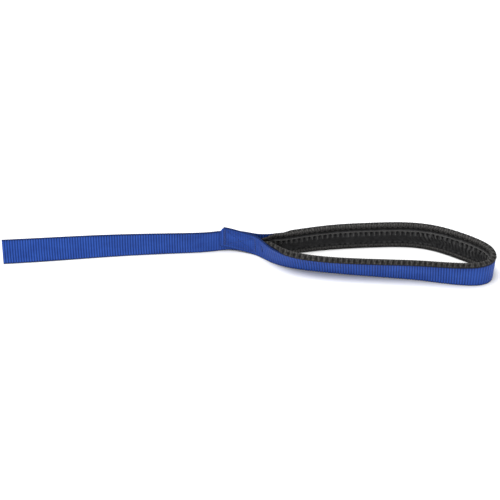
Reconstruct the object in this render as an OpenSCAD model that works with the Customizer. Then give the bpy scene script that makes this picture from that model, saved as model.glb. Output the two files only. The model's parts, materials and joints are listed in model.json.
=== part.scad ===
// Webbing strap with a padded hand loop, standing on its edge.
// The strap's end is folded back and sewn to the strap's front, and the loop that
// this makes is lined with a bound foam pad. The tail is one length of webbing that
// bends anywhere; here it is four stiff lengths that meet at three upright bend lines.
// +X runs along the strap to the loop, +Y is its back, and +Z is up.
// The origin is the middle of the footprint, on the surface that the strap stands on.

/* [Webbing] */
// Width of the webbing, which stands upright
web_w = 25; // [23:0.5:26]
// Thickness of the webbing
web_t = 1.8; // [1.4:0.1:2]
// How far the trimmed corner of the sewn-back end runs down its cut edge
corner_drop = 6.5; // [2:0.5:10]
// How far the trimmed corner of the sewn-back end runs along its top edge
corner_run = 4; // [2:0.5:6]

/* [Pad] */
// Height of the pad, with its bound edges
pad_h = 27.5; // [27:0.1:29]
// Thickness of the pad at its bound edges
pad_t = 3.3; // [3:0.1:3.8]
// How much thicker the foam is halfway up
crown = 0.8; // [0:0.1:1]
// Height of each bound edge on the pad's face
roll_h = 4.5; // [3.5:0.1:5]
// Thickness of the fabric behind the foam
backing_t = 0.4; // [0.3:0.05:0.5]
// Thickness of the knitted face fabric
cover_t = 0.5; // [0.4:0.05:0.6]
// Thickness of the binding tape
tape_t = 0.5; // [0.4:0.05:0.6]

/* [Thread] */
// Thickness of the sewing thread on the joint
thread_t = 0.3; // [0.2:0.05:0.4]
// Width of a seam of that thread
seam_w = 0.8; // [0.5:0.1:1.2]
// Width of a bar tack
tack_w = 2; // [1.5:0.1:2.5]

/* [Bends] */
// Where the first bend line stands, left of the sewn joint
bend_1_x = -40; // [-44:1:-38]
// Where the second bend line stands
bend_2_x = -105; // [-110:1:-100]
// Where the third bend line stands
bend_3_x = -170; // [-175:1:-165]

/* [Hidden] */

webbing_blue = [0.13, 0.28, 0.62];
thread_blue = [0.08, 0.17, 0.45];
knit_black = [0.09, 0.09, 0.10];
tape_black = [0.16, 0.16, 0.16];
foam_grey = [0.35, 0.35, 0.36];

lay = 0.05;                       // clearance between two layers
half_t = web_t / 2;
fold_gap = web_t + 0.2;           // from the strap's middle to the sewn-back end's

// The webbing's route, seen from above: control points of one smooth curve.
// Each is [x, y, lean, rise]: lean is in degrees, outward from the loop or towards the
// back on the tail, and rise is how far the lower edge stands off the surface.
tail_route = [
    [-284, 0, 16, 0], [-234, 4, 15, 0], [-185, 9, 12, 0], [-139, 15, 6, 0],
    [-93, 19.5, 0, 0], [-50, 22, -4, 0], [-34, 24, -5, 0]
];
joint_route = [[-20, 27.4, -5, 0], [-9, 26, -4.5, 0], [1, 23.4, -4.5, 0], [9, 20.4, -4, 0]];
far_route = [
    [18, 20, -4, 0], [34, 22.5, -5, 0], [56, 27, -3, 0], [84, 31.5, 0, 0],
    [114, 33.6, 0, 0], [142, 35.2, 0, 0], [164, 34, 0, 0], [184, 27.5, 3, 0],
    [202, 16.5, 6, 0], [217, 7, 6, 0]
];
nose_route = [[228.5, -2, 4, 0], [232.8, -12, 3, 0], [231, -22, 4, 0], [222.5, -28, 6, 0]];
near_route = [
    [209, -29, 10, 0], [186, -25.5, 14, 0], [160, -19.5, 19, 0], [128, -16, 23, 0],
    [96, -12, 27, 0], [66, -7.5, 29, 0], [42, -2.5, 27, 0], [26, 4, 18, 0], [15, 13, 8, 0]
];
// How far the sewn-back end has slewed up, from the crotch to past its cut edge
slew = [0, 0.5, 1.8, 4.6, 9, 14];
sewn = [tail_route[5], tail_route[6], joint_route[0], joint_route[1], joint_route[2],
        joint_route[3]];
end_route = [for (i = [5:-1:0]) fold_back(i)];
route = concat(tail_route, joint_route, far_route, nose_route, near_route, end_route);

tail_last = len(tail_route) - 2;
joint_last = tail_last + len(joint_route);
near_last = joint_last + len(far_route) + len(nose_route) + len(near_route);
route_end = len(route) - 3;

// Where the pieces start and stop along the route
bend_u = [for (x = [bend_1_x, bend_2_x, bend_3_x]) u_at(x, 0, tail_last)];
cut_u = u_at(-26.7, near_last, route_end);
corner_u = u_at(-26.7 + corner_run, near_last, route_end);
pad_start_u = u_at(13, joint_last, joint_last + 4);
pad_end_u = u_at(13.5, near_last - 4, near_last + 1);

// Gaps beyond each bend line: wider where the strap leans, because it turns upright
bend_gap = [1.6, 1.4, 2.8];
step = 5;                         // spacing of the cross-sections, mm

// ---- The route as a smooth curve ----

// Blending weights of a uniform cubic curve, and of its slope
function weights(t) = [pow(1 - t, 3), 3 * t * t * t - 6 * t * t + 4,
                       -3 * t * t * t + 3 * t * t + 3 * t + 1, t * t * t] / 6;
function slopes(t) = [-pow(1 - t, 2), 3 * t * t - 4 * t, -3 * t * t + 2 * t + 1, t * t] / 2;
function span_of(u) = min(floor(u), route_end - 1);
function four(i) = [route[i], route[i + 1], route[i + 2], route[i + 3]];
function at(u) = weights(u - span_of(u)) * four(span_of(u));
function slope_at(u) = slopes(u - span_of(u)) * four(span_of(u));
function left_of(d) = [-d[1], d[0]] / norm([d[0], d[1]]);

// The place on the route, between two others, where x has a given value
function u_at(x, low, high, turns = 30) =
    turns == 0 ? (low + high) / 2
    : let (mid = (low + high) / 2, rising = at(high)[0] > at(low)[0])
      ((at(mid)[0] < x) == rising) ? u_at(x, mid, high, turns - 1)
                                   : u_at(x, low, mid, turns - 1);

// A control point of the sewn-back end: the strap's own, moved to its front
function fold_back(i) =
    let (here = sewn[i], before = sewn[max(i - 1, 0)], after = sewn[min(i + 1, 5)],
         out = left_of([after[0] - before[0], after[1] - before[1]]))
    [here[0] - out[0] * fold_gap, here[1] - out[1] * fold_gap, -here[2], slew[5 - i]];

// ---- Cross-sections along the route ----

// The places between u0 and u1 that lie about one step apart
function places(u0, u1) = concat(
    [u0],
    [for (i = [floor(u0):1:ceil(u1) - 1])
        let (pair = [route[i + 1], route[i + 2]],
             gap = norm([pair[1][0] - pair[0][0], pair[1][1] - pair[0][1]]),
             parts = max(4, ceil(gap / step)))
        for (k = [0:1:parts - 1])
            let (u = i + k / parts) if (u > u0 + 0.05 && u < u1 - 0.05) u],
    [u1]);

// One point of a section: n outward from the webbing's middle, w up its width. A wall
// that leans stands on its own lower corner, and nothing reaches below the surface.
function section_point(u, n, w, along = 0) =
    let (p = at(u), d = slope_at(u), out = left_of(d), q = n * cos(p[2]) + w * sin(p[2]),
         fore = [d[0], d[1]] / norm([d[0], d[1]]) * along,
         foot = half_t * abs(sin(p[2])))
    [p[0] + out[0] * q + fore[0], p[1] + out[1] * q + fore[1],
     max(p[3] + foot + w * cos(p[2]) - n * sin(p[2]), 0)];

// Whether a ring climbs from one of its points to the next: layers that face each other
// then split their quads along the same diagonal, so that they stay apart where they twist
function ring_z(rings, i, j) =
    rings[i][(j + 1) % len(rings[i])][2] > rings[i][j][2];

// A closed skin through rings of points that go round the same way
module skin(rings) {
    m = len(rings[0]);
    last = (len(rings) - 1) * m;
    polyhedron(
        points = [for (ring = rings) each ring],
        faces = concat(
            [[for (j = [0:1:m - 1]) j]],
            [[for (j = [m - 1:-1:0]) last + j]],
            [for (i = [0:1:len(rings) - 2], j = [0:1:m - 1])
                let (a = i * m + j, b = i * m + (j + 1) % m, rising = ring_z(rings, i, j))
                each rising ? [[a, a + m, b + m], [a, b + m, b]]
                            : [[a, a + m, b], [b, a + m, b + m]]]
        ),
        convexity = 8
    );
}

function box_section(n0, n1, w0, w1) = [[n0, w0], [n1, w0], [n1, w1], [n0, w1]];
function ring_at(u, outline, along = 0) =
    [for (q = outline) section_point(u, q[0], q[1], along)];

// ---- Webbing ----

// A rounded end: the webbing thins to nothing over half its thickness
function round_end(u, way) = [for (a = (way > 0 ? [20, 45, 65, 80] : [80, 65, 45, 20]))
    ring_at(u, box_section(-half_t * cos(a), half_t * cos(a), 0, web_w),
            way * half_t * sin(a))];

function web_top(u) = u <= corner_u ? web_w
    : web_w - corner_drop * (u - corner_u) / (cut_u - corner_u);

function web_rings(u0, u1, ends = [0, 0]) = concat(
    ends[0] == 1 ? round_end(u0, -1) : [],
    [for (u = places(u0, u1)) ring_at(u, box_section(-half_t, half_t, 0, web_top(u)))],
    ends[1] == 1 ? round_end(u1, 1) : []);

// The place a given distance before another, for the gap at a bend line
function before(u, gap) = u_at(at(u)[0] - gap, 0, tail_last);

module loop_webbing() {
    color(webbing_blue)
        skin(concat(
            web_rings(bend_u[0], corner_u, [1, 0]),
            [ring_at(cut_u, box_section(-half_t, half_t, 0, web_top(cut_u)))]));
}

module tail_webbing_near() {
    color(webbing_blue)
        skin(web_rings(bend_u[1], before(bend_u[0], web_t + bend_gap[0]), [1, 1]));
}

module tail_webbing_middle() {
    color(webbing_blue)
        skin(web_rings(bend_u[2], before(bend_u[1], web_t + bend_gap[1]), [1, 1]));
}

module tail_webbing_end() {
    color(webbing_blue)
        skin(web_rings(0, before(bend_u[2], web_t + bend_gap[2]), [0, 1]));
}

// ---- Pad ----

pad_places = places(pad_start_u, pad_end_u);
// How far along the pad each place is
pad_runs = run_lengths(pad_places);
pad_length = pad_runs[len(pad_runs) - 1];

function run_lengths(us, i = 0, sum = 0) =
    i == len(us) - 1 ? [sum]
    : let (a = at(us[i]), b = at(us[i + 1]))
      concat([sum], run_lengths(us, i + 1, sum + norm([b[0] - a[0], b[1] - a[1]])));

function from_end(i) = min(pad_runs[i], pad_length - pad_runs[i]);
function ease(t) = let (c = min(max(t, 0), 1)) c * c * (3 - 2 * c);

// Towards its ends the pad gets lower and thinner, and leaves the webbing's top edge
end_low = 6;                      // how much lower it ends, mm
function drop(i) = end_low * (1 - ease(from_end(i) / 14));
function cover_edge(i) = ease((from_end(i) - 20) / 10);
function thick(i) = 0.35 + 0.65 * ease(from_end(i) / 20);
// Near its ends the pad stands off the webbing a little, where the walls twist together
function stand_off(i) = 0.25 * (1 - ease((from_end(i) - 20) / 20));

// Layer boundaries, measured inward from the webbing's inner face
backing_in = lay + backing_t;
foam_out = backing_in + lay;
cover_in = pad_t - tape_t - lay;
cover_out = cover_in - cover_t;
foam_in = cover_out - lay;
laminate_low = tape_t + lay;
edge_top = web_w + 2 * lay;       // the upper roll's underside over the webbing

function inward(i, e) = -(half_t + stand_off(i) + e * thick(i));

// Heights of the crowned face, as fractions of the way between the two bound edges
crown_steps = [0, 0.12, 0.3, 0.5, 0.7, 0.88, 1];
function crowned(i, e, down) =
    let (low = roll_h, high = pad_h - roll_h - drop(i))
    [for (f = (down ? [1, 0.88, 0.7, 0.5, 0.3, 0.12, 0] : crown_steps))
        [inward(i, e + crown * sin(180 * f)), low + (high - low) * f]];

function sheet_section(i, e_out, e_in, crowned_out, crowned_in) =
    let (low = laminate_low, high = edge_top - lay - drop(i))
    concat(
        [[inward(i, e_in), low], [inward(i, e_out), low]],
        crowned_out ? crowned(i, e_out, false) : [],
        [[inward(i, e_out), high], [inward(i, e_in), high]],
        crowned_in ? crowned(i, e_in, true) : []);

module pad_sheet(e_out, e_in, crowned_out, crowned_in) {
    skin([for (i = [0:1:len(pad_places) - 1])
        ring_at(pad_places[i], sheet_section(i, e_out, e_in, crowned_out, crowned_in))]);
}

module foam_core() {
    color(foam_grey) pad_sheet(foam_out, foam_in, false, true);
}

module pad_backing() {
    color(knit_black) pad_sheet(lay, backing_in, false, false);
}

module pad_cover() {
    color(knit_black) pad_sheet(cover_out, cover_in, true, true);
}

// Upper binding: a roll over the pad and the webbing's edge, with a leg on the face
function upper_roll(i) =
    let (d = drop(i), g = cover_edge(i), under = edge_top - d, top = pad_h - d,
         back = (1 - g) * inward(i, lay) + g * half_t,
         face = inward(i, pad_t), leg = inward(i, pad_t - tape_t), mid = (back + face) / 2)
    [[face, top - roll_h], [leg, top - roll_h], [leg, under], [back, under],
     [back, top - 0.8], [(back + mid) / 2, top - 0.15], [mid, top],
     [(face + mid) / 2, top - 0.15], [face, top - 1]];

module upper_edge_binding() {
    color(tape_black)
        skin([for (i = [0:1:len(pad_places) - 1]) ring_at(pad_places[i], upper_roll(i))]);
}

// Lower binding: under the pad only, because the webbing stands on the surface itself
function lower_roll(i) =
    let (face = inward(i, pad_t), leg = inward(i, pad_t - tape_t), back = inward(i, lay))
    [[face, 0.6], [(face + leg) / 2, 0], [back, 0], [back, tape_t], [leg, tape_t],
     [leg, roll_h], [face, roll_h]];

module lower_edge_binding() {
    color(tape_black)
        skin([for (i = [0:1:len(pad_places) - 1]) ring_at(pad_places[i], lower_roll(i))]);
}

// A seam along one bound edge, standing on the tape's face
seam_in = pad_t + lay;
seam_top = seam_in + 0.35;
module pad_seam(height, follows_top) {
    skin([for (i = [1:1:len(pad_places) - 2])
        let (w = height - (follows_top ? drop(i) : 0))
        ring_at(pad_places[i], box_section(inward(i, seam_top), inward(i, seam_in),
                                           w - seam_w / 2, w + seam_w / 2))]);
}

module upper_pad_stitching() {
    color(knit_black) pad_seam(pad_h - roll_h + 0.7, true);
}

module lower_pad_stitching() {
    color(knit_black) pad_seam(roll_h - 0.7, false);
}

// ---- Stitching of the joint ----

face_n = half_t + 0.12;            // the thread's underside, clear of the flat facets
box_low = 4;
box_high = web_w - 4;

// A seam on the webbing's outer face, from height w0 to height w1
module seam(u0, u1, w0, w1) {
    us = places(u0, u1);
    skin([for (u = us)
        let (w = w0 + (w1 - w0) * (u - u0) / (u1 - u0))
        ring_at(u, box_section(face_n, face_n + thread_t, w - seam_w / 2, w + seam_w / 2))]);
}

// An upright bar of thread, centred at x on the stretch of route from u_low to u_high
module bar(x, u_low, u_high, w0, w1) {
    ends = [for (side = [-1, 1]) u_at(x + side * tack_w / 2, u_low, u_high)];
    outline = box_section(face_n, face_n + thread_t, w0, w1);
    skin([ring_at(min(ends), outline), ring_at(max(ends), outline)]);
}

module box_and_cross(u0, u1) {
    seam(u0, u1, box_low, box_low);
    seam(u0, u1, box_high, box_high);
    seam(u0, u1, box_low, box_high);
    seam(u0, u1, box_high, box_low);
}

// The same seams on the sewn-back end's face and on the strap's back
front_u = [u_at(6, near_last - 1, route_end), u_at(-20, near_last, route_end)];
back_u = [u_at(-20, 0, joint_last + 2), u_at(6, 0, joint_last + 2)];

module box_stitching() {
    color(thread_blue) {
        box_and_cross(front_u[0], front_u[1]);
        box_and_cross(back_u[0], back_u[1]);
    }
}

// One tack at each end of the joint, on both faces
tack_off = 2.4;                   // from the box's end to the tack's middle, along the strap
module joint_bar_tacks() {
    color(thread_blue)
        for (x = [-20 - tack_off, 6 + tack_off]) {
            bar(x, near_last - 1, route_end, box_low - 1, box_high + 1);
            bar(x, 0, joint_last + 2, box_low - 1, box_high + 1);
        }
}

// A short tack through each end of the pad, on the webbing's outer face
tack_low = 9;
tack_high = 17;
module pad_end_tacks() {
    color(thread_blue) {
        bar(15.5, joint_last, joint_last + 4, tack_low, tack_high);
        bar(15.5, near_last - 4, near_last + 1, tack_low, tack_high);
    }
}

loop_webbing();
tail_webbing_near();
tail_webbing_middle();
tail_webbing_end();
foam_core();
pad_backing();
pad_cover();
upper_edge_binding();
lower_edge_binding();
upper_pad_stitching();
lower_pad_stitching();
box_stitching();
joint_bar_tacks();
pad_end_tacks();
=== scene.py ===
"""Looks of a webbing strap with a padded hand loop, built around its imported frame.

Everything is laid out in "fabric space": s millimetres along the strap from its free end,
n millimetres out from the middle of the webbing, and w millimetres up its width. place()
turns fabric space into metres in the frame.
"""
import json
import math

import bmesh
import bpy
import numpy as np
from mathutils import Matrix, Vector


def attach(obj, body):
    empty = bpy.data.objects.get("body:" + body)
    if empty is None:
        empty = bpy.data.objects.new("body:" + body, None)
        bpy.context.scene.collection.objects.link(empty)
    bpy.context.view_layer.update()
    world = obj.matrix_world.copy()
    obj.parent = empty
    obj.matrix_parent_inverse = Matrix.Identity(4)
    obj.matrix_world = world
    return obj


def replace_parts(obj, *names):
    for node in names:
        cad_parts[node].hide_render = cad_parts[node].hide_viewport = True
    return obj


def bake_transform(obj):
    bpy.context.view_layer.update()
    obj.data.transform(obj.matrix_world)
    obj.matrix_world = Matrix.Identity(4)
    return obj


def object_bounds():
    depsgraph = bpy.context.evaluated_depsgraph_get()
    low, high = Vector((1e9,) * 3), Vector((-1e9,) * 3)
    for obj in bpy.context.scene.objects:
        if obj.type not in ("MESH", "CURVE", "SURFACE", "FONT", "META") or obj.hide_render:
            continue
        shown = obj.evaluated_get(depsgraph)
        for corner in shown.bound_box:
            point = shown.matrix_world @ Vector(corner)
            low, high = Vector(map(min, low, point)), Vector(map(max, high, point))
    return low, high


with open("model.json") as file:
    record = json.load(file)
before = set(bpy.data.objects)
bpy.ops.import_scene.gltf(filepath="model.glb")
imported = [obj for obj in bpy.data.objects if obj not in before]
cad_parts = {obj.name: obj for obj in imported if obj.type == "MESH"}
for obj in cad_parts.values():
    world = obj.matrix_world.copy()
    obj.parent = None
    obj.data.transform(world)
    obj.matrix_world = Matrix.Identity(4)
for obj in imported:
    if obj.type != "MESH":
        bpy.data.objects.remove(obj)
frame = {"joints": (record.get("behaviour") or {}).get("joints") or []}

CAD_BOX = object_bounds()
MM = 0.001

# ---- The webbing's route: the same points as the design's ----
# Each is (x, y, lean, rise): millimetres, and degrees outward from the loop.
TAIL = [
    (-284, 0, 16, 0), (-234, 4, 15, 0), (-185, 9, 12, 0), (-139, 15, 6, 0),
    (-93, 19.5, 0, 0), (-50, 22, -4, 0), (-34, 24, -5, 0),
]
JOINT = [(-20, 27.4, -5, 0), (-9, 26, -4.5, 0), (1, 23.4, -4.5, 0), (9, 20.4, -4, 0)]
FAR_WALL = [
    (18, 20, -4, 0), (34, 22.5, -5, 0), (56, 27, -3, 0), (84, 31.5, 0, 0),
    (114, 33.6, 0, 0), (142, 35.2, 0, 0), (164, 34, 0, 0), (184, 27.5, 3, 0),
    (202, 16.5, 6, 0), (217, 7, 6, 0),
]
NOSE = [(228.5, -2, 4, 0), (232.8, -12, 3, 0), (231, -22, 4, 0), (222.5, -28, 6, 0)]
NEAR_WALL = [
    (209, -29, 10, 0), (186, -25.5, 14, 0), (160, -19.5, 19, 0), (128, -16, 23, 0),
    (96, -12, 27, 0), (66, -7.5, 29, 0), (42, -2.5, 27, 0), (26, 4, 18, 0), (15, 13, 8, 0),
]
SLEW = [14, 9, 4.6, 1.8, 0.5, 0]     # rise of the sewn-back end, from the crotch on
SEWN = (TAIL[5:] + JOINT)[::-1]

# ---- Sizes, in millimetres ----
WEB_W, WEB_T = 25, 1.8
HALF_T = WEB_T / 2
FOLD_GAP = WEB_T + 0.2               # between the middles of the two sewn layers
RIB = 2.5                            # spacing of the ribs across the webbing
RIB_DEPTH = 0.34
CUT_X = -26.7                        # where the sewn-back end is cut
CORNER_RUN, CORNER_DROP = 4, 6.5     # its trimmed upper corner
JOINT_X = (-20, 6)                   # ends of the box of stitching
BOX_W = (4, 21)                      # lower and upper side of the box
TACK_W = (3, 22)                     # foot and top of a bar tack
PAD_X = (13, 13.5)                   # the pad's ends, on the far and the near wall
PAD_TACK_X = 15.5                    # the tacks through the pad's ends
PAD_TACK_W = (9, 17)
PAD_H, PAD_T, TAPE_T, CROWN = 27.5, 3.3, 0.5, 0.8
ROLL_H = 4.5                         # height of a bound edge on the pad's face
ROLL_TOP = 1.3                       # height of the upper roll's round top
LAY = 0.05                           # clearance between two layers
BACKING_T = 0.4
EDGE_TOP = WEB_W + 2 * LAY           # underside of the upper roll over the webbing
PUCKER = 5.1                         # spacing of the stitches round the pad's edges
COMB = (2.9, 8.4)                    # the comb of stitches below the roll: line and tips
END_LOW = 6                          # how much lower the pad is at its ends

TAIL_LAST = len(TAIL) - 2
JOINT_LAST = TAIL_LAST + len(JOINT)
NEAR_LAST = JOINT_LAST + len(FAR_WALL) + len(NOSE) + len(NEAR_WALL)


def folded_back():
    """Control points of the sewn-back end: the strap's own, moved to its front."""
    made = []
    for i, (x, y, lean, _) in enumerate(SEWN):
        ahead, behind = SEWN[max(i - 1, 0)], SEWN[min(i + 1, len(SEWN) - 1)]
        along = np.array([ahead[0] - behind[0], ahead[1] - behind[1]], float)
        out = np.array([-along[1], along[0]]) / np.hypot(*along)
        made.append((x - out[0] * FOLD_GAP, y - out[1] * FOLD_GAP, -lean, SLEW[-1 - i]))
    return made


ROUTE = np.array(TAIL + JOINT + FAR_WALL + NOSE + NEAR_WALL + folded_back(), float)
ROUTE_END = len(ROUTE) - 3


def curve(u):
    """The points and the plan directions of the smooth route at the places u."""
    i = np.minimum(np.floor(u).astype(int), ROUTE_END - 1)
    t = (u - i)[:, None]
    a, b, c, d = (ROUTE[i + k] for k in range(4))
    point = ((1 - t) ** 3 * a + (3 * t**3 - 6 * t**2 + 4) * b
             + (-3 * t**3 + 3 * t**2 + 3 * t + 1) * c + t**3 * d) / 6
    slope = (-(1 - t) ** 2 * a + (3 * t**2 - 4 * t) * b
             + (-3 * t**2 + 2 * t + 1) * c + t**2 * d) / 2
    plan = slope[:, :2] / np.linalg.norm(slope[:, :2], axis=1)[:, None]
    return point, plan


TABLE_U = np.linspace(0, ROUTE_END, 24001)
TABLE_POINT, TABLE_PLAN = curve(TABLE_U)
TABLE_S = np.concatenate([[0], np.cumsum(
    np.linalg.norm(np.diff(TABLE_POINT[:, :2], axis=0), axis=1))])


def s_where(x, u_low, u_high):
    """How far along the strap x has a value, between two places of the route."""
    part = (TABLE_U >= u_low) & (TABLE_U <= u_high)
    xs, ss = TABLE_POINT[part, 0], TABLE_S[part]
    return float(np.interp(x, xs, ss) if xs[-1] > xs[0] else np.interp(-x, -xs, ss))


# Places along the strap. The box of stitching is met twice: S_BACK is where it goes through
# the strap, and S_FRONT where it goes through the sewn-back end.
FAR_START = (JOINT_LAST, JOINT_LAST + 4)
NEAR_END = (NEAR_LAST - 4, NEAR_LAST + 1)
S_CUT = s_where(CUT_X, NEAR_LAST, ROUTE_END)
S_CORNER = s_where(CUT_X + CORNER_RUN, NEAR_LAST, ROUTE_END)
S_PAD = s_where(PAD_X[0], *FAR_START)
PAD_L = s_where(PAD_X[1], *NEAR_END) - S_PAD
S_FRONT = [s_where(x, NEAR_LAST - 1, ROUTE_END) for x in JOINT_X]
S_BACK = [s_where(x, 0, JOINT_LAST + 2) for x in JOINT_X]
S_PAD_TACKS = (s_where(PAD_TACK_X, *FAR_START), s_where(PAD_TACK_X, *NEAR_END))
S_NOSE = S_PAD + PAD_L / 2           # halfway round the pad, at the tip of the turn
# The stretch round the nose where the cover crumples
S_TURN = (s_where(145, JOINT_LAST + 2, JOINT_LAST + 9), s_where(195, NEAR_LAST - 8, NEAR_LAST))


def place(s, n, w):
    """Points in metres in the frame, from fabric space. s, n and w have one shape."""
    shape = np.broadcast(s, n, w).shape
    s, n, w = (np.broadcast_to(v, shape).ravel() for v in (s, n, w))
    point, plan = curve(np.interp(s, TABLE_S, TABLE_U))
    lean = np.radians(point[:, 2])
    side = n * np.cos(lean) + w * np.sin(lean)
    foot = HALF_T * np.abs(np.sin(lean))       # the lower edge rolls over its own corner
    height = point[:, 3] + foot + w * np.cos(lean) - n * np.sin(lean)
    xyz = np.stack([point[:, 0] - plan[:, 1] * side, point[:, 1] + plan[:, 0] * side,
                    np.maximum(height, 0)], axis=1)
    return (xyz * MM).reshape(*shape, 3)


def ease(t):
    """0 before t is 0, 1 after t is 1, and smooth between."""
    t = np.clip(t, 0, 1)
    return t * t * (3 - 2 * t)


def noise(s, w, size_s, size_w, seed):
    """Smooth seeded noise from -1 to 1 over the fabric, with lumps of a given size."""
    wide, tall = 97, 61
    grid = np.random.default_rng(seed).uniform(-1, 1, (wide, tall))
    a, b = s / size_s, w / size_w
    i, j = np.floor(a).astype(int), np.floor(b).astype(int)
    fa, fb = ease(a - i), ease(b - j)
    corner = [[grid[(i + p) % wide, (j + q) % tall] for q in (0, 1)] for p in (0, 1)]
    low = corner[0][0] * (1 - fa) + corner[1][0] * fa
    high = corner[0][1] * (1 - fa) + corner[1][1] * fa
    return low * (1 - fb) + high * fb


def tuft(phase, power=0.6):
    """Height from 0 to 1 of a row of soft tufts, pinched at every whole phase."""
    return np.abs(np.sin(math.pi * phase)) ** power


def band(x, middle, reach, power=2):
    """1 at the middle of a band and fading to 0 past its reach."""
    return np.exp(-np.abs((x - middle) / reach) ** power)


def holes(p, drift=0.0, reach=0.8):
    """1 at each stitch hole of a seam along the pad, and 0 between them."""
    off = (p / PUCKER + drift + 0.5) % 1 - 0.5
    return np.exp(-(off * PUCKER / reach) ** 2)


# ---- Meshes ----

def new_piece(name, points, faces, fabric, relief_shading, sharp=50):
    """A closed smooth mesh carrying its fabric space and its painted light and shade as
    attributes.
    """
    mesh = bpy.data.meshes.new(name)
    mesh.from_pydata(points.reshape(-1, 3).tolist(), [], faces)
    layer = mesh.attributes.new("fabric", "FLOAT_VECTOR", "POINT")
    layer.data.foreach_set("vector", fabric.astype(np.float32).ravel())
    layer = mesh.attributes.new("relief_shading", "FLOAT", "POINT")
    layer.data.foreach_set("value", np.ravel(relief_shading).astype(np.float32))
    work = bmesh.new()
    work.from_mesh(mesh)
    bmesh.ops.recalc_face_normals(work, faces=work.faces)
    work.to_mesh(mesh)
    work.free()
    mesh.polygons.foreach_set("use_smooth", [True] * len(mesh.polygons))
    mesh.set_sharp_from_angle(angle=math.radians(sharp))
    piece = bpy.data.objects.new(name, mesh)
    bpy.context.scene.collection.objects.link(piece)
    return piece


def ring_faces(rings, around, first=0):
    """Quads between rings of points that go round, and a cap at either end."""
    a = first + np.arange(rings - 1)[:, None] * around + np.arange(around)
    b = first + np.arange(rings - 1)[:, None] * around + (np.arange(around) + 1) % around
    quads = np.stack([a, a + around, b + around, b], axis=-1).reshape(-1, 4).tolist()
    last = first + (rings - 1) * around
    return quads + [list(range(first, first + around)),
                    list(range(last + around - 1, last - 1, -1))]


def sweep(name, s, n, w, relief_shading, along=None, across=None, sharp=50):
    """A solid through closed sections: arrays of rings by points round a ring.

    along and across are the weave's own coordinates, where they aren't s and w."""
    s = np.broadcast_to(s, n.shape)
    fabric = np.stack([s if along is None else along, w if across is None else across, n],
                      axis=-1)
    relief_shading = np.broadcast_to(relief_shading, n.shape)
    return new_piece(name, place(s, n, w), ring_faces(*n.shape), fabric, relief_shading, sharp)


def round_section(n, w):
    """Distance round each section from its first point, for tape that wraps an edge."""
    steps = np.hypot(np.diff(n, axis=1), np.diff(w, axis=1))
    return np.concatenate([np.zeros((len(n), 1)), np.cumsum(steps, axis=1)], axis=1)


# ---- Webbing ----

def rib_phase(s, w):
    """Where a point is in the weave: the ribs bow and wander a little."""
    return (s + 0.15 * np.sin(w / WEB_W * math.pi) + 0.10 * noise(s, w, 23, 11, 3)) / RIB


def flattened(s):
    """How much of the ribs' height is left: sewing and handling have pressed them flat."""
    pressed = np.zeros_like(s)
    spans = [
        (*sorted(S_FRONT), 1.0),
        (*sorted(S_BACK), 1.0),
        (S_BACK[0] - 30, S_BACK[0], 0.6),          # the tail, next to the joint
        (S_FRONT[1] - 42, S_FRONT[1], 0.7),        # the near wall, next to the joint
        (S_NOSE, S_NOSE + 30, 0.5),                # from the nose's tip to the near wall
    ]
    for low, high, amount in spans:
        worn = ease((s - low + 9) / 8) * ease((high + 9 - s) / 8)
        pressed = np.maximum(pressed, amount * worn)
    return 1 - 0.75 * pressed


def stitch_groove(s, w):
    """Depth of the grooves that the box and its cross pull into the webbing."""
    depth = np.zeros(np.broadcast(s, w).shape)
    for low, high in (sorted(S_FRONT), sorted(S_BACK)):
        f = (s - low) / (high - low)
        inside = (f > -0.02) & (f < 1.02)
        for a, b in ((0, 0), (1, 1), (0, 1), (1, 0)):
            line = BOX_W[0] + (BOX_W[1] - BOX_W[0]) * (a + (b - a) * f)
            depth = np.maximum(depth, inside * np.exp(-((w - line) / 0.7) ** 2))
    return 0.16 * depth


def web_top(s):
    """Height of the webbing's upper edge: the sewn-back end has a trimmed corner."""
    return WEB_W - CORNER_DROP * np.clip((s - S_CORNER) / (S_CUT - S_CORNER), 0, 1) ** 1.15


def web_outline(across=34, edge=4, selvedge=0.8):
    """The section, as each point's share of the half thickness and its height."""
    up = np.linspace(selvedge, WEB_W - selvedge, across)
    turn = (np.arange(edge) + 1) * math.pi / (edge + 1)
    top = np.stack([np.cos(turn), WEB_W - selvedge + selvedge * np.sin(turn)], axis=1)
    low = np.stack([-np.cos(turn), selvedge - selvedge * np.sin(turn)], axis=1)
    outer = np.stack([np.ones(across), up], axis=1)
    inner = np.stack([-np.ones(across), up[::-1]], axis=1)
    return np.concatenate([outer, top, inner, low])


def web_stations(s0, s1):
    """Sections between two places, close together in the valleys between ribs."""
    marks = (np.arange(math.floor(s0 / RIB), math.ceil(s1 / RIB) + 1)[:, None]
             + np.array([0, 0.12, 0.35, 0.65, 0.88])).ravel() * RIB
    inner = marks[(marks > s0 + 0.15) & (marks < s1 - 0.15)]
    return np.concatenate([[s0], inner, [s1]])


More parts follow.
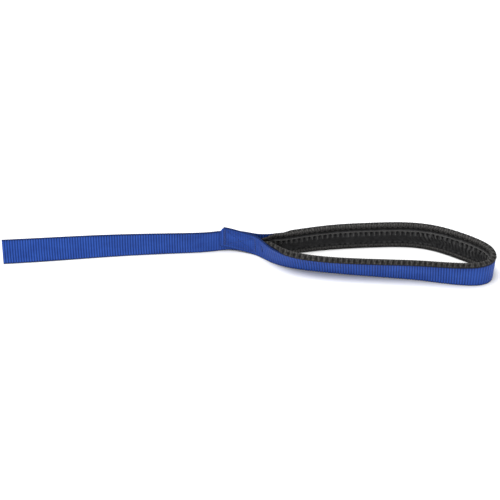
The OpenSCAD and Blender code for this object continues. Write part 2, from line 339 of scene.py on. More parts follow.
def webbing(name, s0, s1, cut=(False, False)):
    """One length of webbing, whose cut ends are melted round."""
    s = web_stations(s0, s1)
    melt = np.array([0.05, 0.2, 0.5, 0.9])
    if cut[0]:
        s = np.concatenate([[s0], s0 + melt, s[s > s0 + 1]])
    if cut[1]:
        s = np.concatenate([s[s < s1 - 1], s1 - melt[::-1], [s1]])
    away = np.minimum(s - s0 if cut[0] else np.inf, s1 - s if cut[1] else np.inf)
    away = np.broadcast_to(away, s.shape)
    bead = np.sqrt(1 - (1 - np.clip((away + 0.06) / 0.96, 0, 1)) ** 2)
    share, up = web_outline().T
    s, bead = s[:, None], bead[:, None]
    w = up * web_top(s) / WEB_W
    phase = rib_phase(s, w)
    crest = np.abs(np.sin(math.pi * phase)) ** 0.8
    lump = 1 + 0.25 * noise(s, w, 7, 5, 11)
    half = HALF_T - RIB_DEPTH * (1 - crest * lump.clip(0, 1)) * flattened(s)
    half = half * bead - stitch_groove(s, w) * (np.abs(share) > 0.99)
    bow = 0.12 * crest * flattened(s)
    w = w + np.where(up > WEB_W / 2, bow, -bow) * (np.abs(share) < 0.99)
    w = np.maximum(w, 0.0)
    # flattened(s) also weights the painted rib shade: pressed ribs get less.
    return sweep(name, s, share * half, w, flattened(s), along=phase * RIB, sharp=70)


# ---- Pad ----

def pad_end(p):
    """Distance to the nearer end of the pad."""
    return np.minimum(p, PAD_L - p)


def drop(p):
    """How much lower the pad's top is than at its full height."""
    return END_LOW * (1 - ease(pad_end(p) / 14))


def inward(p, e):
    """n of a surface e inward from the webbing, thinner towards the pad's ends."""
    thick = 0.35 + 0.65 * ease(pad_end(p) / 20)
    stand_off = 0.25 * (1 - ease((pad_end(p) - 20) / 20))
    return -(HALF_T + stand_off + e * thick)


def bend_of(s):
    """How tightly the strap bends there: 0 when straight, 1 at the nose."""
    turn = np.unwrap(np.arctan2(TABLE_PLAN[:, 1], TABLE_PLAN[:, 0]))
    step = 60
    tight = np.abs(turn[2 * step:] - turn[:-2 * step]) / (TABLE_S[2 * step:]
                                                         - TABLE_S[:-2 * step])
    return np.clip(np.interp(s, TABLE_S[step:-step], tight) / 0.05, 0, 1)


def crumpled(p):
    """Where the cover is crumpled, inside the turn: 0 on the straights, 1 in the turn."""
    s = p + S_PAD
    return ease((s - S_TURN[0]) / 30) * ease((S_TURN[1] - s) / 20)


def face_share(p, w):
    """How far up the open face between the two bound edges a point is, from 0 to 1."""
    return np.clip((w - ROLL_H) / (PAD_H - 2 * ROLL_H - drop(p)), 0, 1)


# The cover's face is simulated laid out flat, ten times its size, as a grid with four
# columns to a stitch.
CLOTH_SCALE = 10 * MM
CLOTH_COLUMN, CLOTH_ROWS = PUCKER / 4, 20
CLOTH_CUT = (1.05, 0.14, 1.06)       # factors: length, what the nose adds to it, and height
TOP_HOLES, LOW_HOLES = 15, 2         # rows of the grid where the seams hold the cover down
CLOTH_FRAMES = 24
CLOTH_RISE = (-0.3, 1.3)             # limits on the rise, which a settled sheet keeps well inside


def cloth_sheet():
    """The flat sheet before it swells, its shape as cut, and the points sewn down."""
    columns = int(PAD_L / CLOTH_COLUMN)
    tall = PAD_H - 2 * ROLL_H
    p, w = np.meshgrid(np.arange(columns + 1) * CLOTH_COLUMN,
                       np.linspace(0, tall, CLOTH_ROWS + 1), indexing="ij")
    start = np.stack([p, 0.05 * noise(p, w, 4, 3, 41) - 0.05, w], axis=-1)
    longer = CLOTH_CUT[0] + CLOTH_CUT[1] * bend_of(p[:, 0] + S_PAD)
    cut_p = np.concatenate([[0], np.cumsum(longer[1:] * CLOTH_COLUMN)])
    cut = np.stack([cut_p[:, None] + 0 * w, 0 * p, w * CLOTH_CUT[2]], axis=-1)
    sewn = np.zeros(p.shape, bool)
    sewn[:, [0, -1]] = True
    sewn[[0, -1], :] = True
    sewn[::4, [TOP_HOLES, LOW_HOLES]] = True
    index = np.arange(p.size).reshape(p.shape)
    faces = np.stack([index[:-1, :-1], index[1:, :-1], index[1:, 1:], index[:-1, 1:]], axis=-1)
    return start, cut, np.flatnonzero(sewn.ravel()), faces.reshape(-1, 4)


def cloth_object(start, cut, sewn, faces):
    """The sheet as an object, with its sewn points as a group and its cut shape as a key."""
    mesh = bpy.data.meshes.new("cloth_sheet")
    mesh.from_pydata((start.reshape(-1, 3) * CLOTH_SCALE).tolist(), [], faces.tolist())
    sheet = bpy.data.objects.new("cloth_sheet", mesh)
    bpy.context.scene.collection.objects.link(sheet)
    pins = sheet.vertex_groups.new(name="sewn")
    pins.add(sewn.tolist(), 1.0, "REPLACE")
    sheet.shape_key_add(name="Basis")
    as_cut = sheet.shape_key_add(name="cut")
    as_cut.data.foreach_set("co", (cut.reshape(-1, 3) * CLOTH_SCALE).ravel())
    return sheet, as_cut


def make_cloth(sheet, as_cut):
    """Makes the sheet a light, weightless cloth that pressure lifts."""
    cloth = sheet.modifiers.new("cloth", "CLOTH")
    feel = cloth.settings
    feel.quality = 6
    feel.mass = 0.1
    feel.tension_stiffness = feel.compression_stiffness = 15
    feel.shear_stiffness = 5
    feel.bending_stiffness = 0.1
    feel.vertex_group_mass = "sewn"
    feel.pin_stiffness = 1.0
    feel.rest_shape_key = as_cut
    feel.use_pressure = True
    feel.uniform_pressure_force = 30
    feel.effector_weights.gravity = 0
    cloth.collision_settings.use_collision = False


def settled_rise(sheet, shape):
    """Runs the simulation, and gives how far each point of the grid has risen, within limits."""
    for step in range(1, CLOTH_FRAMES + 1):
        bpy.context.scene.frame_set(step)
    settled = sheet.evaluated_get(bpy.context.evaluated_depsgraph_get()).data
    points = np.empty(math.prod(shape), np.float32)
    settled.vertices.foreach_get("co", points)
    return np.clip(-points.reshape(shape)[..., 1] / CLOTH_SCALE, *CLOTH_RISE)


def simulated_swell():
    """The swell of the cover's face by cloth simulation: a function of p and w.

    The sheet is cut larger than the space it's sewn into, most of all round the nose.
    Pressure lifts it off the foam, and its edges and stitch holes stay down. It settles as
    an even dome between the seams: the creases in the turn are cushion_relief's work."""
    start, cut, sewn, faces = cloth_sheet()
    sheet, as_cut = cloth_object(start, cut, sewn, faces)
    make_cloth(sheet, as_cut)
    rise = settled_rise(sheet, start.shape)
    mesh = sheet.data
    bpy.data.objects.remove(sheet)
    bpy.data.meshes.remove(mesh)
    bpy.context.scene.frame_set(1)

    def swell(p, w):
        """The rise between the four nearest points of the grid."""
        a = np.clip(p / CLOTH_COLUMN, 0, rise.shape[0] - 1.001) + 0 * w
        b = face_share(p, w) * (rise.shape[1] - 1.001)
        i, j = a.astype(int), b.astype(int)
        a, b = a - i, b - j
        low = rise[i, j] * (1 - a) + rise[i + 1, j] * a
        high = rise[i, j + 1] * (1 - a) + rise[i + 1, j + 1] * a
        return low * (1 - b) + high * b

    return swell


def cushion_relief(p, w):
    """The cushion's fine relief in millimetres: seams pulled in, tufts and creases."""
    f = face_share(p, w)
    from_top = PAD_H - ROLL_H - drop(p) - w
    from_low = w - ROLL_H
    drift = 0.10 * noise(p, w, 23, 9, 5)
    ridge = 0.35 * band(from_top, COMB[0], 1.3)
    teeth = 0.55 * tuft(p / PUCKER + drift, 0.9) * band(from_top, 5.4, 3.4, 4)
    low_row = 0.40 * tuft(p / PUCKER + drift) * band(from_low, 1.5, 1.8, 4)
    pits = holes(p, drift) * (0.8 * band(from_top, 5.0, 1.2) + 0.6 * band(from_low, 1.5, 0.9))
    pits = pits * (0.8 + 0.4 * noise(p, w, 8, 9, 13))
    slant = p / 3.7 + 0.13 * w + 0.9 * noise(p, w, 15, 6, 8)
    broken = 0.7 + 0.5 * noise(p, w, 5, 4, 12)
    crease = 1.3 * crumpled(p) * np.sin(math.pi * f) * (tuft(slant, 0.8) - 0.6) * broken
    rumple = 0.16 * noise(p, w, 6, 5, 9) + 0.12 * noise(p, w, 2.2, 2.8, 10)
    return ridge + teeth + low_row - pits + crease + rumple - 0.2


def cushion_e(p, w, swell):
    """Thickness of the cushion: its swell and its relief, between the bound edges."""
    f = face_share(p, w)
    open_face = ease(f / 0.06) * ease((1 - f) / 0.06)
    return PAD_T - TAPE_T - LAY + open_face * (swell + cushion_relief(p, w))


def pad_stations(spacing):
    """Places along the pad about a spacing apart, as a column."""
    return np.linspace(0, PAD_L, round(PAD_L / spacing) + 1)[:, None]


def pad_section(p, e_face, e_back, across):
    """A closed section: up the inner face, and down the back. Gives n and w."""
    low, high = TAPE_T + LAY, EDGE_TOP - LAY - drop(p)
    up = np.linspace(0, 1, across)
    face_w = low + (high - low) * up
    back_w = low + (high - low) * up[::-2]
    n = np.concatenate([inward(p, e_face(p, face_w)), inward(p, e_back + 0 * back_w)], axis=1)
    return n, np.concatenate([face_w, back_w], axis=1)


def cushion(swell):
    """The knitted cover with its foam, crowned between the bound edges."""
    p = pad_stations(0.55)
    n, w = pad_section(p, lambda q, v: cushion_e(q, v, swell(q, v)),
                       BACKING_T + 2 * LAY, 41)
    # light is painted light and shade for the knit: lighter on the tufts and along the comb's
    # line, darker in the stitch pits and creases.
    comb_line = band(PAD_H - ROLL_H - drop(p) - w, COMB[0], 1.3)
    light = np.clip(0.38 + 0.8 * cushion_relief(p, w) + 0.2 * comb_line, 0, 1)
    return sweep("pad_cushion", S_PAD + p, n, w, light)


def backing():
    """The thin fabric between the foam and the webbing."""
    p = pad_stations(2)
    n, w = pad_section(p, lambda q, v: BACKING_T + LAY + 0.03 * noise(q, v, 9, 6, 4),
                       LAY, 13)
    return sweep("pad_backing_cloth", S_PAD + p, n, w, 0.5)


def roll_slack(p):
    """How loosely the tape is rolled: tighter at the pad's ends."""
    return 0.35 + 0.65 * ease(pad_end(p) / 12)


def roll_leg(p, top, slack):
    """Up the pad's face: a lip, the seam's groove, and the shoulder of the roll."""
    rise = np.linspace(0, 1, 12)
    w = top - ROLL_H + (ROLL_H - ROLL_TOP) * rise
    ruffle = tuft(2 * p / PUCKER + 0.5 * noise(p, w, 9, 4, 21), 0.8)
    groove = band(w, top - ROLL_H + 0.8, 0.5)
    shoulder = ease((rise - 0.3) / 0.5)
    n = inward(p, PAD_T) - slack * ((0.25 + 0.3 * ruffle) * shoulder + 0.12 - 0.5 * groove)
    # Painted light on the ruffles and the shoulder, painted shade in the seam's groove.
    light = (0.25 + 0.65 * ruffle) * (0.25 + 0.75 * shoulder) * (1 - groove)
    return n, w, light


def roll_crown(p, top, back, slack, drift):
    """Over the top, from the pad's face to its back, with a dimple at each stitch."""
    face = inward(p, PAD_T)
    turn = np.linspace(0.08, 0.92, 17) * math.pi
    mid, half = (face + back) / 2, (back - face) / 2
    ruffle = tuft(2 * p / PUCKER + 0.5 * noise(p, 3 * turn, 9, 4, 22), 0.8)
    dimple = holes(p, drift, 0.95) * band(turn, 0.62 * math.pi, 0.65)
    n = mid - (half + slack * (0.2 + 0.3 * ruffle) * band(turn, 0, 2, 4)) * np.cos(turn)
    w = top - ROLL_TOP + (1.1 + slack * (0.35 * ruffle - 1.0 * dimple)) * np.sin(turn) ** 0.8
    # Painted light on the ruffles, painted shade in each stitch dimple.
    light = (0.25 + 0.65 * ruffle) * (1 - dimple) ** 3
    return n, w, light


def roll_back(p, top, under, back, slack, drift):
    """Down the back to the webbing's edge, scalloped between the stitches."""
    fall = np.linspace(0.25, 1, 6)
    w = (top - 1.1) * (1 - fall) + under * fall - 0.25 * slack * (1 - holes(p, drift, 1.6))
    scallop = 1 - holes(p, drift, 1.2)
    n = back + slack * (0.15 + 0.35 * scallop) * np.sin(math.pi * fall) ** 0.7
    # Painted shade that darkens down the back towards the webbing's edge, lighter between the
    # stitches.
    return n, w, 0.6 * scallop * (1 - fall) ** 1.5


def upper_roll():
    """Tape rolled over the pad and the webbing's edge, dimpled by its stitches."""
    p = pad_stations(0.5)
    covers = ease((pad_end(p) - 20) / 10)      # 0 where it wraps the pad only, 1 with webbing
    top, under = PAD_H - drop(p), EDGE_TOP - drop(p)
    back = (1 - covers) * inward(p, LAY) + covers * HALF_T
    leg = inward(p, PAD_T - TAPE_T)
    slack = roll_slack(p)
    drift = 0.08 * noise(p, 0 * p, 21, 1, 20)
    # The way home runs under the roll, back to the foot of the leg
    home_n = np.concatenate([leg + (back - leg) * 0.5, leg, leg, leg], axis=1)
    home_w = np.concatenate([under, under, (under + top - ROLL_H) / 2, top - ROLL_H], axis=1)
    parts = [roll_leg(p, top, slack), roll_crown(p, top, back, slack, drift),
             # The way home gets full painted shade.
             roll_back(p, top, under, back, slack, drift), (home_n, home_w, 0 * home_n)]
    n, w, light = (np.concatenate(side, axis=1) for side in zip(*parts))
    return sweep("upper_binding", S_PAD + p, n, w, light, across=round_section(n, w), sharp=80)


def lower_roll():
    """Tape turned under the pad's lower edge only."""
    p = pad_stations(0.5)
    face, leg, back = inward(p, PAD_T), inward(p, PAD_T - TAPE_T), inward(p, LAY)
    slack = roll_slack(p)
    rise = np.linspace(0, 1, 10)
    leg_w = 0.8 + (ROLL_H - 0.8) * rise + 0 * p
    ruffle = tuft(2 * p / PUCKER + 0.5 * noise(p, leg_w, 9, 4, 31), 0.8)
    bulge = (0.35 + 0.35 * ruffle) * np.sin(math.pi * np.clip(rise / 0.95, 0, 1)) ** 0.8
    leg_n = face - slack * (bulge - 0.2 * band(leg_w, 3.75, 0.5)) - 0.04
    turn = np.linspace(0.15, 0.85, 4) * math.pi / 2
    hem_n = face + (leg - face) * (1 - np.cos(turn))
    hem_w = 0.8 * (1 - np.sin(turn)) + 0 * p
    under_n = leg + (back - leg) * np.linspace(0.2, 1, 4)
    n = np.concatenate([leg_n[:, ::-1], hem_n, under_n, back, leg, leg], axis=1)
    w = np.concatenate([leg_w[:, ::-1], hem_w, 0 * under_n, TAPE_T + 0 * p,
                        TAPE_T + 0 * p, ROLL_H + 0 * p], axis=1)
    # Painted light on the ruffles, fading to painted shade at the foot of the leg; the hem and
    # the underside get full painted shade.
    leg_light = (0.2 + 0.6 * ruffle) * ease((rise - 0.15) / 0.5)
    light = np.concatenate([leg_light[:, ::-1], 0 * hem_n, 0 * under_n, 0 * p, 0 * p,
                            0 * p + 0.5], axis=1)
    return sweep("lower_binding", S_PAD + p, n, w, light, across=round_section(n, w), sharp=80)


# ---- Stitches ----

RINGS, SIDES = 7, 6                  # sections along a stitch, and its sides


def threads(name, starts, ends, surface, radius=0.2, sunk=0.22):
    """One piece of separate stitches, each from a start to an end in (s, w).

    surface(s, w) gives n of the cloth and the side (+1 or -1) that faces out. A stitch
    rises out of the cloth, lies on it and dives back in."""
    t = np.linspace(0, 1, RINGS)
    starts, ends = (np.asarray(v, float)[:, None, :] for v in (starts, ends))
    line = starts + (ends - starts) * t[None, :, None]
    s, w = line[..., 0], line[..., 1]
    n, side = surface(s, w)
    arch = np.sin(math.pi * t) ** 0.5
    height = side * (radius * 0.75 + sunk) * arch - side * sunk
    middle = place(s, n + height, w)
    outward = place(s, n + height + side * 1.0, w) - middle
    outward /= np.linalg.norm(outward, axis=-1, keepdims=True)
    along = np.gradient(middle, axis=1)
    along /= np.linalg.norm(along, axis=-1, keepdims=True)
    across = np.cross(along, outward)
    across /= np.linalg.norm(across, axis=-1, keepdims=True)
    angle = np.arange(SIDES) * 2 * math.pi / SIDES
    thin = (0.55 + 0.45 * arch) * radius * MM
    points = (middle[:, :, None, :] + thin[None, :, None, None] * (
        np.cos(angle)[:, None] * outward[:, :, None, :]
        + np.sin(angle)[:, None] * across[:, :, None, :]))
    run = np.linalg.norm(ends - starts, axis=-1)[:, :, None] * t[None, :, None]
    fabric = np.stack(np.broadcast_arrays(run, angle[None, None, :], s[:, :, None]), axis=-1)
    faces = []
    for i in range(len(starts)):
        faces += ring_faces(RINGS, SIDES, i * RINGS * SIDES)
    relief_shading = np.broadcast_to(arch[None, :, None], points.shape[:-1])
    return new_piece(name, points, faces, fabric, relief_shading, sharp=75)


def row_of_stitches(start, end, count, share=0.82):
    """Starts and ends of equal stitches along a straight seam in (s, w)."""
    start, end = np.array(start, float), np.array(end, float)
    middle = (np.arange(count) + 0.5) / count
    half = share / 2 / count
    return [(start + (end - start) * (m - half), start + (end - start) * (m + half))
            for m in middle]


def pad_row(height, phase=0.0, follows_top=True):
    """A running seam round one bound edge, whose stitches span the tufts."""
    count = int(PAD_L / PUCKER) - 1
    p = (np.arange(1, count)[:, None] + np.array([0.14, 0.86]) + phase) * PUCKER
    w = height - (drop(p) if follows_top else 0 * p)
    ends = np.stack([S_PAD + p, w], axis=-1)
    return ends[:, 0], ends[:, 1]


def upper_pad_seams(swell):
    """The running seam on the roll, and the comb of stitches that holds it down below."""
    def on_roll(s, w):
        return inward(s - S_PAD, PAD_T - 0.25), -1

    def on_cushion(s, w):
        p = s - S_PAD
        return inward(p, cushion_e(p, w, swell(p, w)) + 0.02), -1

    straight = threads("upper_pad_seam", *pad_row(PAD_H - ROLL_H + 0.8), on_roll, 0.2)
    tooth = (np.arange(2, int(PAD_L / PUCKER) - 2) + 0.5) * PUCKER
    line = np.stack([tooth + S_PAD, PAD_H - ROLL_H - drop(tooth) - COMB[0]], axis=1)
    tips = line + np.array([0.5, COMB[0] - COMB[1]])
    starts = np.concatenate([line[:-1], line])
    ends = np.concatenate([line[1:], tips])
    return straight, threads("upper_pad_comb", starts, ends, on_cushion, 0.34, 0.3)


def lower_pad_seam():
    """The running seam on the lower bound edge."""
    def on_tape(s, w):
        return inward(s - S_PAD, PAD_T - 0.08), -1

    return threads("lower_pad_seam", *pad_row(ROLL_H - 0.75, 0.5, False), on_tape, 0.2)


def on_webbing(s, w):
    """The surface that the joint's stitches lie on: the webbing's outer face."""
    return HALF_T - 0.05 + 0 * s, 1


def split(pairs):
    """Pairs of starts and ends, as a list of starts and a list of ends."""
    return [a for a, _ in pairs], [b for _, b in pairs]


def box_stitching():
    """A box with a cross on the sewn-back end's front and on the strap's back."""
    pairs = []
    for s0, s1 in (S_FRONT, S_BACK):
        low, high = BOX_W
        for w0, w1, count in ((low, low, 11), (high, high, 11), (low, high, 13), (high, low, 13)):
            pairs += row_of_stitches((s0, w0), (s1, w1), count)
        for s in (s0, s1):
            pairs += row_of_stitches((s, low), (s, high), 7)
    return threads("box_stitches", *split(pairs), on_webbing, 0.19)


def bar_tacks():
    """Dense upright bars of zigzag at either end of the box, on both faces."""
    pairs = []
    for s0, s1 in (S_FRONT, S_BACK):
        way = math.copysign(1, s1 - s0)
        for s in (s0 - way * 2.4, s1 + way * 2.4):
            pairs += bar(s, *TACK_W)
    return threads("bar_tacks", *split(pairs), on_webbing, 0.2, 0.1)


def bar(s, w0, w1, width=1.9, pitch=0.42):
    """Stitches of one bar: each crosses it, a little above the last."""
    heights = np.arange(w0, w1, pitch)
    return [((s - width / 2, w), (s + width / 2, w + pitch * 0.6)) for w in heights]


def pad_end_tacks():
    """A short tack through each end of the pad, on the webbing's outer face."""
    pairs = []
    for s in S_PAD_TACKS:
        pairs += bar(s, *PAD_TACK_W, 1.6)
    return threads("pad_end_stitches", *split(pairs), on_webbing, 0.18, 0.1)


# ---- Materials ----

class Shader:
    """A material under construction, with short calls for its nodes."""

    def __init__(self, name, roughness, specular, sheen=0.0, sheen_roughness=0.5):
        """Starts a material that reads a piece's fabric space and its painted light and shade."""
        self.material = bpy.data.materials.new(name)
        self.material.use_nodes = True
        self.tree = self.material.node_tree
        self.surface = self.tree.nodes["Principled BSDF"]
        self.surface.inputs["Roughness"].default_value = roughness
        self.surface.inputs["Specular IOR Level"].default_value = specular
        self.surface.inputs["Sheen Weight"].default_value = sheen
        self.surface.inputs["Sheen Roughness"].default_value = sheen_roughness
        fabric = self.tree.nodes.new("ShaderNodeAttribute")
        fabric.attribute_name = "fabric"
        parts = self.tree.nodes.new("ShaderNodeSeparateXYZ")
        self.tree.links.new(fabric.outputs["Vector"], parts.inputs[0])
        self.along, self.up, self.out = parts.outputs
        relief_shading = self.tree.nodes.new("ShaderNodeAttribute")
        relief_shading.attribute_name = "relief_shading"
        self.relief_shading = relief_shading.outputs["Fac"]

    def set(self, socket, value):
        """Gives a socket a link, or a plain value."""
        if isinstance(value, bpy.types.NodeSocket):
            self.tree.links.new(value, socket)
        else:
            socket.default_value = value

    def math(self, operation, a, b=0.0, c=0.0):
        """One step of arithmetic on sockets or numbers."""
        node = self.tree.nodes.new("ShaderNodeMath")
        node.operation = operation
        for socket, value in zip(node.inputs, (a, b, c)):
            self.set(socket, value)
        return node.outputs[0]

    def times(self, a, b):
        return self.math("MULTIPLY", a, b)

    def plus(self, a, b):
        return self.math("ADD", a, b)

    def fraction(self, a):
        return self.math("FRACT", a)

    def hump(self, a):
        """A round hump over each whole unit of a: 0 at its ends and 1 in its middle."""
        centred = self.math("MULTIPLY_ADD", self.fraction(a), 2.0, -1.0)
        return self.math("SQRT", self.math("SUBTRACT", 1.0, self.times(centred, centred)))

    def noise(self, scale_along, scale_up, detail=2.0):
        """Noise over the fabric, with lumps per millimetre along it and up it."""
        where = self.tree.nodes.new("ShaderNodeCombineXYZ")
        self.set(where.inputs[0], self.times(self.along, scale_along))
        self.set(where.inputs[1], self.times(self.up, scale_up))
        self.set(where.inputs[2], self.times(self.out, 0.7))
        node = self.tree.nodes.new("ShaderNodeTexNoise")
        self.set(node.inputs["Vector"], where.outputs[0])
        node.inputs["Scale"].default_value = 1.0
        node.inputs["Detail"].default_value = detail
        return node.outputs["Fac"]

    def ramp(self, value, *stops):
        """Colour from (position, (r, g, b)) stops."""
        node = self.tree.nodes.new("ShaderNodeValToRGB")
        self.set(node.inputs[0], value)
        elements = node.color_ramp.elements
        while len(elements) < len(stops):
            elements.new(0.5)
        for element, (position, colour) in zip(elements, stops):
            element.position = position
            element.color = (*colour, 1)
        return node.outputs[0]

    def span(self, value, low, high, to_low, to_high):
        """A value mapped from one span to another, and held at its ends."""
        node = self.tree.nodes.new("ShaderNodeMapRange")
        for socket, number in zip(node.inputs, (value, low, high, to_low, to_high)):
            self.set(socket, number)
        return node.outputs[0]

    def tint(self, colour, factor):
        """A colour made lighter or darker by a factor."""
        node = self.tree.nodes.new("ShaderNodeVectorMath")
        node.operation = "SCALE"
        self.set(node.inputs[0], colour)
        self.set(node.inputs["Scale"], factor)
        return node.outputs[0]

    def finish(self, colour, height, depth, roughness=None):
        """Links the colour, the bump (its depth in millimetres) and the roughness."""
        bump = self.tree.nodes.new("ShaderNodeBump")
        bump.inputs["Distance"].default_value = depth * MM
        self.set(bump.inputs["Height"], height)
        self.set(self.surface.inputs["Normal"], bump.outputs[0])
        self.set(self.surface.inputs["Base Color"], colour)
        if roughness is not None:
            self.set(self.surface.inputs["Roughness"], roughness)
        return self.material


def webbing_material():
    """Ribbed nylon webbing: bricks of warp floats over the ribs, painted shade in the valleys."""
    m = Shader("ribbed_webbing", 0.5, 0.1, sheen=0.02, sheen_roughness=0.35)
    ribs = m.times(m.along, 1 / RIB)
    odd = m.math("FLOORED_MODULO", m.math("FLOOR", ribs), 2.0)
    float_row = m.plus(m.times(m.up, 1 / 1.05), m.times(odd, 0.5))
    swing = m.math("COSINE", m.times(ribs, 2 * math.pi))       # 1 in a valley, -1 on a crest
    weave = m.times(m.hump(ribs), m.math("POWER", m.hump(float_row), 0.5))
    fibres = m.noise(0.5, 14.0, 3.0)
    patches = m.noise(0.06, 0.12)
    height = m.plus(m.times(weave, 0.8), m.times(fibres, 0.25))
    # shade: painted shade in the rib valleys and between the floats, plus patches of random tone.
    shade = m.plus(m.span(weave, 0, 1, 0.2, 0.6), m.span(patches, 0.3, 0.7, -0.06, 0.4))
    colour = m.ramp(shade, (0.0, (0.007, 0.023, 0.160)), (0.5, (0.0155, 0.054, 0.268)),
                    (1.0, (0.022, 0.072, 0.335)))
    # Darker towards either edge: selvedge wear, and painted shade just below the pad's upper
    # bound edge, which covers the top.
    edge = m.math("MINIMUM", m.up, m.math("SUBTRACT", float(WEB_W), m.up))
    worn = m.plus(m.span(edge, 0.3, 1.9, 0.3, 1.0), m.span(fibres, 0.35, 0.7, -0.08, 0.08))
    # Painted shade in the rib valleys and a painted highlight on the crests, weighted by the
    # relief shading.
    rib_painted_shading = m.math("SUBTRACT", 1.0, m.times(m.times(swing, m.relief_shading), 0.42))
    rough = m.span(fibres, 0.3, 0.7, 0.45, 0.65)
    return m.finish(m.tint(colour, m.times(worn, rib_painted_shading)), height, 0.22, rough)


def knit_material():
    """Black knitted cover: columns of V-shaped loops, grey on the tufts from rubbing and painted
    light.
    """
    m = Shader("black_knit", 0.8, 0.12, sheen=0.02, sheen_roughness=0.5)
    column = m.times(m.up, 1 / 1.25)
    centred = m.math("ABSOLUTE", m.plus(m.fraction(column), -0.5))
    course = m.math("MULTIPLY_ADD", m.along, 1 / 1.1, m.times(centred, -1.3))
    yarn = m.times(m.hump(course), m.math("POWER", m.hump(m.times(column, 2.0)), 0.6))
    fuzz = m.noise(4.0, 4.0, 3.0)
    patches = m.noise(0.25, 0.5)
    height = m.plus(m.times(yarn, 0.8), m.times(fuzz, 0.35))
    # Lighter where the relief shading is high: rubbing and a painted highlight on the tufts,
    # painted shade in the pits and creases. shade adds painted shade between the yarns and
    # patches of random tone.
    rubbed_and_painted_light = m.times(m.math("POWER", m.relief_shading, 1.5), 0.8)
    shade = m.plus(m.plus(m.times(yarn, 0.3), m.span(patches, 0.3, 0.7, -0.1, 0.15)), rubbed_and_painted_light)
    colour = m.ramp(shade, (0.0, (0.004, 0.004, 0.0045)), (0.4, (0.020, 0.020, 0.021)),
                    (1.0, (0.080, 0.080, 0.081)))
    return m.finish(colour, height, 0.3, m.span(fuzz, 0.3, 0.7, 0.6, 0.85))


def tape_material():
    """Black binding tape: a fine twill, grey on the crests of its folds from wear and painted
    light.
    """
    m = Shader("binding_twill", 0.75, 0.1, sheen=0.01, sheen_roughness=0.5)
    twill = m.hump(m.plus(m.times(m.along, 1 / 0.8), m.times(m.up, 1 / 0.8)))
    yarns = m.hump(m.times(m.up, 1 / 0.4))
    weave = m.times(twill, m.math("POWER", yarns, 0.5))
    fuzz = m.noise(3.0, 3.0, 3.0)
    patches = m.noise(0.3, 0.6)
    height = m.plus(m.times(weave, 0.8), m.times(fuzz, 0.3))
    # Lighter where the relief shading is high: wear and a painted highlight on the folds' crests,
    # painted shade in the grooves and dimples. shade adds painted shade between the twill lines
    # and patches of random tone.
    rubbed_and_painted_light = m.times(m.math("POWER", m.relief_shading, 1.5), 0.7)
    shade = m.plus(m.plus(m.times(weave, 0.25), m.span(patches, 0.3, 0.7, -0.1, 0.2)), rubbed_and_painted_light)
    colour = m.ramp(shade, (0.0, (0.003, 0.0029, 0.0028)), (0.4, (0.017, 0.0165, 0.016)),
                    (1.0, (0.085, 0.082, 0.080)))
    return m.finish(colour, height, 0.18, m.span(fuzz, 0.3, 0.7, 0.55, 0.8))


def thread_material(name, dark, light):
    """Three-ply sewing thread: a twist that winds round each stitch."""
    m = Shader(name, 0.45, 0.35, sheen=0.15, sheen_roughness=0.4)
    turns = m.plus(m.times(m.along, 1 / 0.55), m.times(m.up, 3 / (2 * math.pi)))
    ply = m.hump(turns)
    hairs = m.noise(2.0, 5.0, 3.0)
    # shade: painted shade in the grooves between the plies, plus random hairs.
    shade = m.plus(m.times(ply, 0.7), m.span(hairs, 0.3, 0.7, 0.0, 0.3))
    return m.finish(m.ramp(shade, (0.0, dark), (1.0, light)), ply, 0.08,
                    m.span(hairs, 0.3, 0.7, 0.38, 0.55))


# ---- The pieces on their bodies ----

def dressed(piece, material, slot, *nodes):
    """Gives a piece its material, and hides the CAD nodes that it stands for; the slot is not
    used.
    """
    piece.data.materials.append(material)
    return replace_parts(piece, *nodes)


def seam_place(x):
    """The rib valley nearest to x on the tail, where one length hands over to the next."""
    return round(s_where(x, 0, TAIL_LAST) / RIB) * RIB


def across_joint(piece):
    """Bakes a piece's placement into its mesh."""
    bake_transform(piece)


def build_webbing(material):
    """The strap in three pieces that meet about halfway between joints, one to a joint."""
    near, middle, far = frame["joints"]
    hand_over = [seam_place((a["pos_m"][0] + b["pos_m"][0]) / 2 / MM)
                 for a, b in ((near, middle), (middle, far))]
    loop = webbing("strap_webbing_loop", hand_over[0], S_CUT, (False, True))
    centre = webbing("strap_webbing_middle", hand_over[1], hand_over[0])
    end = webbing("strap_webbing_end", 0.0, hand_over[1], (True, False))
    dressed(loop, material, "webbing", "loop_webbing", "tail_webbing_near")
    dressed(centre, material, "webbing", "tail_webbing_middle")
    dressed(end, material, "webbing", "tail_webbing_end")
    across_joint(loop)
    across_joint(centre)
    across_joint(end)


def build_pad(swell):
    """The pad, its binding and its seams, all on the handle."""
    knit, tape = knit_material(), tape_material()
    thread = thread_material("black_thread", (0.02, 0.02, 0.02), (0.10, 0.098, 0.095))
    filled = dressed(cushion(swell), knit, "pad_fabric", "pad_cover", "foam_core")
    seam, comb = upper_pad_seams(swell)
    pieces = [
        filled,
        dressed(backing(), knit, "pad_fabric", "pad_backing"),
        dressed(upper_roll(), tape, "binding_tape", "upper_edge_binding"),
        dressed(lower_roll(), tape, "binding_tape", "lower_edge_binding"),
        dressed(seam, thread, "pad_thread", "upper_pad_stitching"),
        dressed(comb, thread, "pad_thread", "upper_pad_stitching"),
        dressed(lower_pad_seam(), thread, "pad_thread", "lower_pad_stitching"),
    ]
    for piece in pieces:
        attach(piece, "handle")


def build_joint():
    """The stitching that holds the sewn-back end and the pad's ends."""
    navy = thread_material("navy_thread", (0.006, 0.018, 0.11), (0.018, 0.06, 0.28))
    for piece, node in ((box_stitching(), "box_stitching"), (bar_tacks(), "joint_bar_tacks"),
                        (pad_end_tacks(), "pad_end_tacks")):
        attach(dressed(piece, navy, "joint_thread", node), "handle")


# ---- Floor, light and camera ----

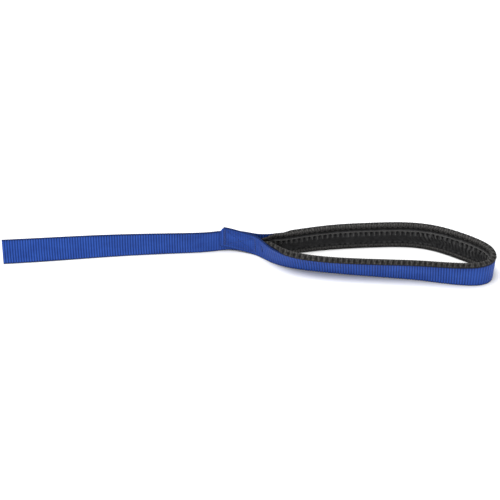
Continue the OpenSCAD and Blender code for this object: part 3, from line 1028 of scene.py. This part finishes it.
def floor():
    """A plain pale floor, just under the object's lowest point."""
    size = 4.0
    z = CAD_BOX[0].z - 0.0002
    corners = [(-size, -size, z), (size, -size, z), (size, size, z), (-size, size, z)]
    mesh = bpy.data.meshes.new("floor")
    mesh.from_pydata(corners, [], [(0, 1, 2, 3)])
    plain = bpy.data.materials.new("pale_floor")
    plain.use_nodes = True
    surface = plain.node_tree.nodes["Principled BSDF"]
    surface.inputs["Base Color"].default_value = (0.92, 0.92, 0.92, 1)
    surface.inputs["Roughness"].default_value = 0.9
    surface.inputs["Specular IOR Level"].default_value = 0.1
    mesh.materials.append(plain)
    plane = bpy.data.objects.new("floor", mesh)
    bpy.context.scene.collection.objects.link(plane)


def studio_light():
    """White surroundings, and one soft lamp nearly overhead, a little to the left and front."""
    world = bpy.data.worlds.new("studio")
    bpy.context.scene.world = world
    world.use_nodes = True
    backdrop = world.node_tree.nodes["Background"]
    backdrop.inputs["Color"].default_value = (1, 1, 1, 1)
    backdrop.inputs["Strength"].default_value = 0.8
    lamp = bpy.data.lights.new("soft_key", "SUN")
    lamp.energy = 2.5
    lamp.angle = math.radians(30)
    key = bpy.data.objects.new("soft_key", lamp)
    key.rotation_euler = Vector((-0.20, -0.15, 1.0)).to_track_quat("Z", "Y").to_euler()
    bpy.context.scene.collection.objects.link(key)


def camera():
    """A long lens, straight on and 38 degrees above the floor."""
    low, high = CAD_BOX
    aim = Vector(((low.x + high.x) / 2 + 2.4 * MM, (low.y + high.y) / 2 + 25 * MM, low.z))
    elevation = math.radians(38)
    lens, sensor, view_width = 135, 36, 484 * MM
    distance = view_width * lens / sensor
    data = bpy.data.cameras.new("camera")
    data.lens, data.sensor_width = lens, sensor
    made = bpy.data.objects.new("camera", data)
    back = Vector((0, -math.cos(elevation), math.sin(elevation)))
    made.location = aim + back * distance
    made.rotation_euler = back.to_track_quat("Z", "Y").to_euler()
    bpy.context.scene.collection.objects.link(made)
    bpy.context.scene.camera = made


def main():
    """Sets the stage, then builds the strap, its pad and its joint."""
    camera()
    floor()
    studio_light()
    bpy.context.scene.view_settings.view_transform = "Standard"
    build_webbing(webbing_material())
    build_pad(simulated_swell())
    build_joint()


main()
